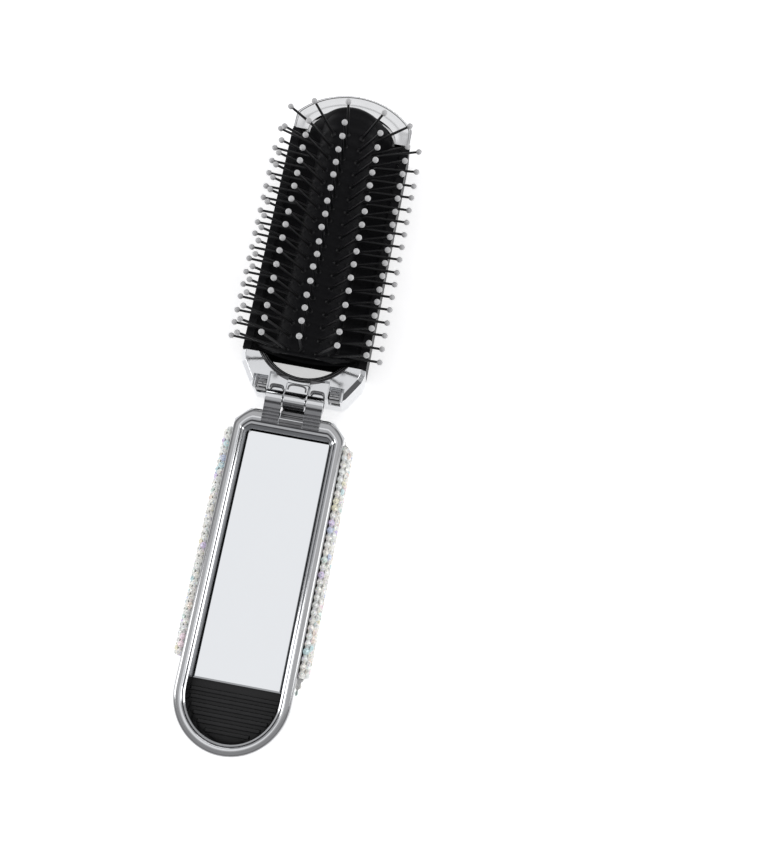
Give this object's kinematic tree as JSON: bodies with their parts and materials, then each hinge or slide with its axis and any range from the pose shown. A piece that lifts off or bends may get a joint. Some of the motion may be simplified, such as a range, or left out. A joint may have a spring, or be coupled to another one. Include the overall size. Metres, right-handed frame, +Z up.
{
  "type": "folding pocket hairbrush",
  "caption": "Folding pocket hairbrush with a mirror in its stone-covered handle and a bristle pad that arches up as the head opens.",
  "frame": {"origin": "middle of the footprint of the open brush lying on its back, on the surface it lies on", "axes": "+X across the brush, +Y from the handle to the brush head, +Z up out of the mirror and the bristles"},
  "size_m": [0.0446, 0.1956, 0.035],
  "materials": {
    "chrome": "bright plating on moulded plastic",
    "black_plastic": "satin black moulding",
    "rubber": "soft black moulding with pearl ball tips",
    "mirror": "silvered glass",
    "adhesive": "foam tape",
    "stones": "clear iridescent faceted stones on a flexible backing",
    "steel": "plain drawn pin"
  },
  "bodies": {
    "handle": {"handle_shell": "chrome", "mirror_bezel": "chrome", "handle_liner": "black_plastic", "mirror_glass": "mirror", "mirror_adhesive": "adhesive", "stone_sheet": "stones", "hinge_knuckle_left": "chrome", "hinge_knuckle_right": "chrome", "hinge_pin": "steel"},
    "head": {"head_knuckle": "chrome", "head_shoulder": "chrome", "head_end_cap": "chrome", "head_body": "black_plastic", "head_back_cover": "black_plastic", "pad_web_left": "rubber", "pad_web_right": "rubber"},
    "row_1": {"bristle_row_1": "rubber"},
    "row_2": {"bristle_row_2": "rubber"},
    "row_3": {"bristle_row_3": "rubber"},
    "row_4": {"bristle_row_4": "rubber"},
    "row_5": {"bristle_row_5": "rubber"},
    "row_6": {"bristle_row_6": "rubber"},
    "row_7": {"bristle_row_7": "rubber"}
  },
  "joints": [
    {"name": "fold", "type": "hinge", "parent": "handle", "child": "head", "pos_m": [0, -0.00075, 0.01265], "axis": [1, 0, 0], "range_deg": [0, 180]},
    {"name": "pad_sink", "type": "slide", "parent": "head", "child": "row_4", "axis": [0, 0, -1], "range_m": [0, 0.01937], "deforming": ["pad_web_left", "pad_web_right"]},
    {"name": "flex_4_5", "type": "hinge", "parent": "row_4", "child": "row_5", "pos_m": [0.0021, 0, 0.02087], "axis": [0, -1, 0], "range_deg": [0, 34]},
    {"name": "flex_5_6", "type": "hinge", "parent": "row_5", "child": "row_6", "pos_m": [0.00579, 0, 0.01886], "axis": [0, -1, 0], "range_deg": [0, 34]},
    {"name": "flex_6_7", "type": "hinge", "parent": "row_6", "child": "row_7", "pos_m": [0.00808, 0, 0.01534], "axis": [0, -1, 0], "range_deg": [0, 34]},
    {"name": "flex_4_3", "type": "hinge", "parent": "row_4", "child": "row_3", "pos_m": [-0.0021, 0, 0.02087], "axis": [0, 1, 0], "range_deg": [0, 34]},
    {"name": "flex_3_2", "type": "hinge", "parent": "row_3", "child": "row_2", "pos_m": [-0.00579, 0, 0.01886], "axis": [0, 1, 0], "range_deg": [0, 34]},
    {"name": "flex_2_1", "type": "hinge", "parent": "row_2", "child": "row_1", "pos_m": [-0.00808, 0, 0.01534], "axis": [0, 1, 0], "range_deg": [0, 34]}
  ],
  "couplings": [
    {"joint": "pad_sink", "follows": "fold", "m_per_rad": 0.0061656},
    {"joint": "flex_4_5", "follows": "fold", "ratio": 0.18889},
    {"joint": "flex_5_6", "follows": "fold", "ratio": 0.18889},
    {"joint": "flex_6_7", "follows": "fold", "ratio": 0.18889},
    {"joint": "flex_4_3", "follows": "fold", "ratio": 0.18889},
    {"joint": "flex_3_2", "follows": "fold", "ratio": 0.18889},
    {"joint": "flex_2_1", "follows": "fold", "ratio": 0.18889}
  ]
}
